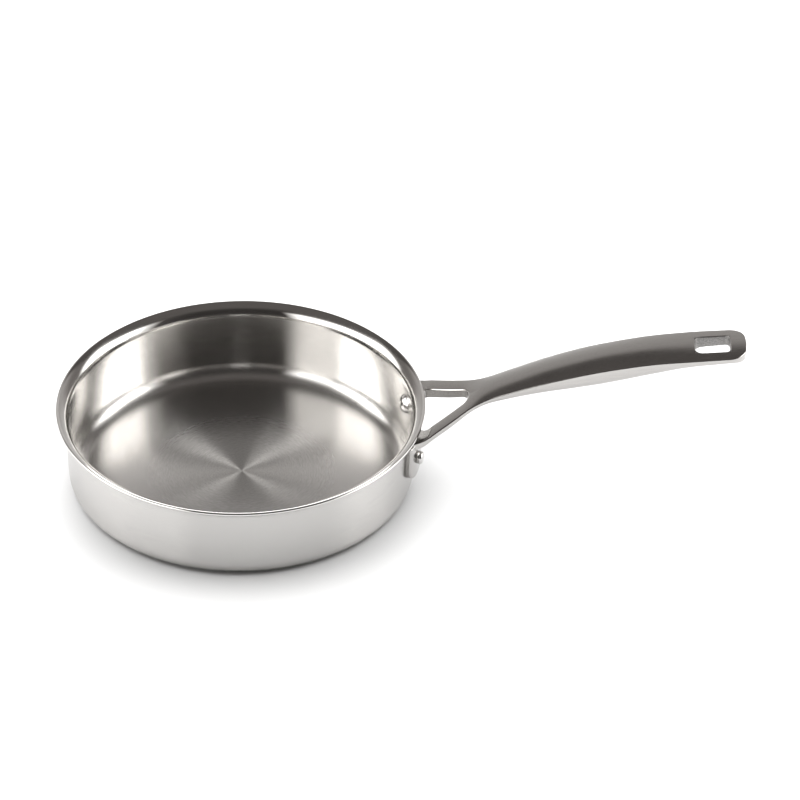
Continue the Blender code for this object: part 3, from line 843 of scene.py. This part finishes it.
# Strengths, and where each light begins and ends: "front" and "back" by how far a
# direction points to the camera (1) or away from it (-1), heights by its sine.
studio = {
    "side": 3.0, "leftFront": 0.82, "leftSoft": 0.06, "rightFront": 0.44, "rightSoft": 0.16,
    "sideBack": -0.42, "sideBackSoft": 0.08, "sideTop": 0.65, "sideTopSoft": 0.10,
    "core": 5.0, "coreFront": 0.35, "coreBack": -0.22, "coreSoft": 0.10, "coreLow": 0.25,
    "coreTop": 0.58, "coreTopSoft": 0.04, "horizon": 0.90, "backdrop": 0.52,
    "fadeFrom": -0.25, "fadeTo": 0.50, "backTop": 0.61, "backTopSoft": 0.05,
    "backdropEnd": (-0.50, -0.10), "backdropDim": 0.7, "dimFrom": (-0.88, -0.66),
    "dark": 0.10, "above": 0.05, "aboveFrom": (0.60, 0.95), "frontShade": 0.5,
    "shadeFrom": (0.50, 0.90), "shadeHeight": (0.20, 0.85, 0.10),
    "warm": (1.0, 0.92, 0.88, 1), "white": (1.0, 0.985, 0.965, 1), "pale": 1.0,
}


def studioLight():
    # Soft light by direction: two wide bright panels left and right, a grey
    # backdrop that fades upward, and darkness above and behind the camera.
    world = bpy.data.worlds.new("studio")
    bpy.context.scene.world = world
    world.use_nodes = True
    nodes = Nodes(world.node_tree)
    nodes.tree.nodes.clear()
    x, y, z = nodes.parts(nodes.node("ShaderNodeTexCoord")[0])
    level = (x * x + y * y)**0.5
    toFront = 0 - y / level.maths("MAXIMUM", level, 0.001)

    def topOf(name):
        return 1 - z.rise(studio[name + "Top"] - studio[name + "TopSoft"],
                          studio[name + "Top"] + studio[name + "TopSoft"])

    onRight = x.rise(-0.1, 0.1)
    front = studio["leftFront"] + onRight * (studio["rightFront"] - studio["leftFront"])
    soft = studio["leftSoft"] + onRight * (studio["rightSoft"] - studio["leftSoft"])
    ahead = (toFront - front) / soft
    ahead = ahead.maths("MULTIPLY_ADD", ahead, 0.5, 0.5, clamp=True)
    back, backSoft = studio["sideBack"], studio["sideBackSoft"]
    sides = toFront.rise(back - backSoft, back + backSoft) * (1 - ahead) * topOf("side")
    behind = (1 - studio["backdropDim"] * toFront.rise(*studio["dimFrom"])) * (
        1 - toFront.rise(*studio["backdropEnd"])) * topOf("back")
    fade = studio["horizon"] - (studio["horizon"] - studio["backdrop"]) * z.rise(
        studio["fadeFrom"], studio["fadeTo"])
    core = toFront.band(studio["coreBack"], studio["coreFront"], studio["coreSoft"]) * z.band(
        studio["coreLow"], studio["coreTop"], studio["coreTopSoft"])
    dark = studio["dark"] + studio["above"] * z.rise(*studio["aboveFrom"])
    dark = dark * (1 - studio["frontShade"] * toFront.rise(*studio["shadeFrom"])
                   * z.band(*studio["shadeHeight"]))
    light = (dark + behind * (fade - dark) * (1 - sides)
             + sides * studio["side"] + core * studio["core"])
    tint = nodes.blend(light.rise(0.1, 0.8), studio["warm"], studio["white"])
    bright = nodes.node("ShaderNodeBackground", sockets={"Color": tint, "Strength": light})[0]
    pale = nodes.node("ShaderNodeBackground", sockets={
        "Color": (1, 1, 1, 1), "Strength": studio["pale"]})[0]
    seen = nodes.node("ShaderNodeLightPath")[0]     # the camera itself sees the pale room
    mixed = nodes.node("ShaderNodeMixShader", sockets={0: seen, 1: bright, 2: pale})[0]
    nodes.node("ShaderNodeOutputWorld", sockets={0: mixed})


# Degrees for the height above the horizon behind the pan and for the spread.
lamps = {
    "tableLamp": {"strength": 26 / 3, "height": 55, "spread": 120},
    "rimLamp": {"strength": 2.6, "height": 8, "spread": 24},
    "fillLamp": {"strength": 0.20, "height": 28, "spread": 38},
}


def softLamp(name, lit):
    # A distant round light behind the pan, on one piece only. Its energy is its
    # strength times the share of the sky that it fills.
    lamp = lamps[name]
    data = bpy.data.lights.new(name, "SUN")
    spread = math.radians(lamp["spread"])
    data.energy = lamp["strength"] * math.pi * math.sin(spread / 2)**2
    data.angle = spread
    piece = bpy.data.objects.new(name, data)
    piece.rotation_euler = (math.radians(lamp["height"] - 90), 0, 0)
    bpy.context.scene.collection.objects.link(piece)
    only = bpy.data.collections.new(name + "Only")
    only.objects.link(lit)
    piece.light_linking.receiver_collection = only


# Where the photo was taken from.
photo = {
    "turn": math.radians(-1.0), "eye": (0.09221, -3.1309, 2.2726),
    "aim": (0.09221, 0, 0.05286), "lens": 298.7, "sensor": 36, "farthest": 200,
}


def photoCamera():
    # Eye and aim, both turned by the same small angle round the pan's axis.
    c, s = math.cos(photo["turn"]), math.sin(photo["turn"])
    spin = np.array([[c, -s, 0], [s, c, 0], [0, 0, 1]])
    eye, aim = Vector(spin @ np.array(photo["eye"])), Vector(spin @ np.array(photo["aim"]))
    data = bpy.data.cameras.new("camera")
    data.lens = photo["lens"]
    data.sensor_width = photo["sensor"]
    data.clip_end = photo["farthest"]
    camera = bpy.data.objects.new("camera", data)
    bpy.context.scene.collection.objects.link(camera)
    camera.location = eye
    camera.rotation_euler = (aim - eye).to_track_quat("-Z", "Y").to_euler()
    bpy.context.scene.camera = camera


# The table is lit by itself, so that it is white while the steel still mirrors a
# dark ceiling. The other two lamps draw the bright line along the lip in front and
# lighten the floor of the pan.
for name, lit in (("tableLamp", paleFloor()), ("rimLamp", panBody), ("fillLamp", panBody)):
    softLamp(name, lit)
studioLight()
photoCamera()
bpy.context.scene.view_settings.view_transform = "Standard"
print("stage ready")
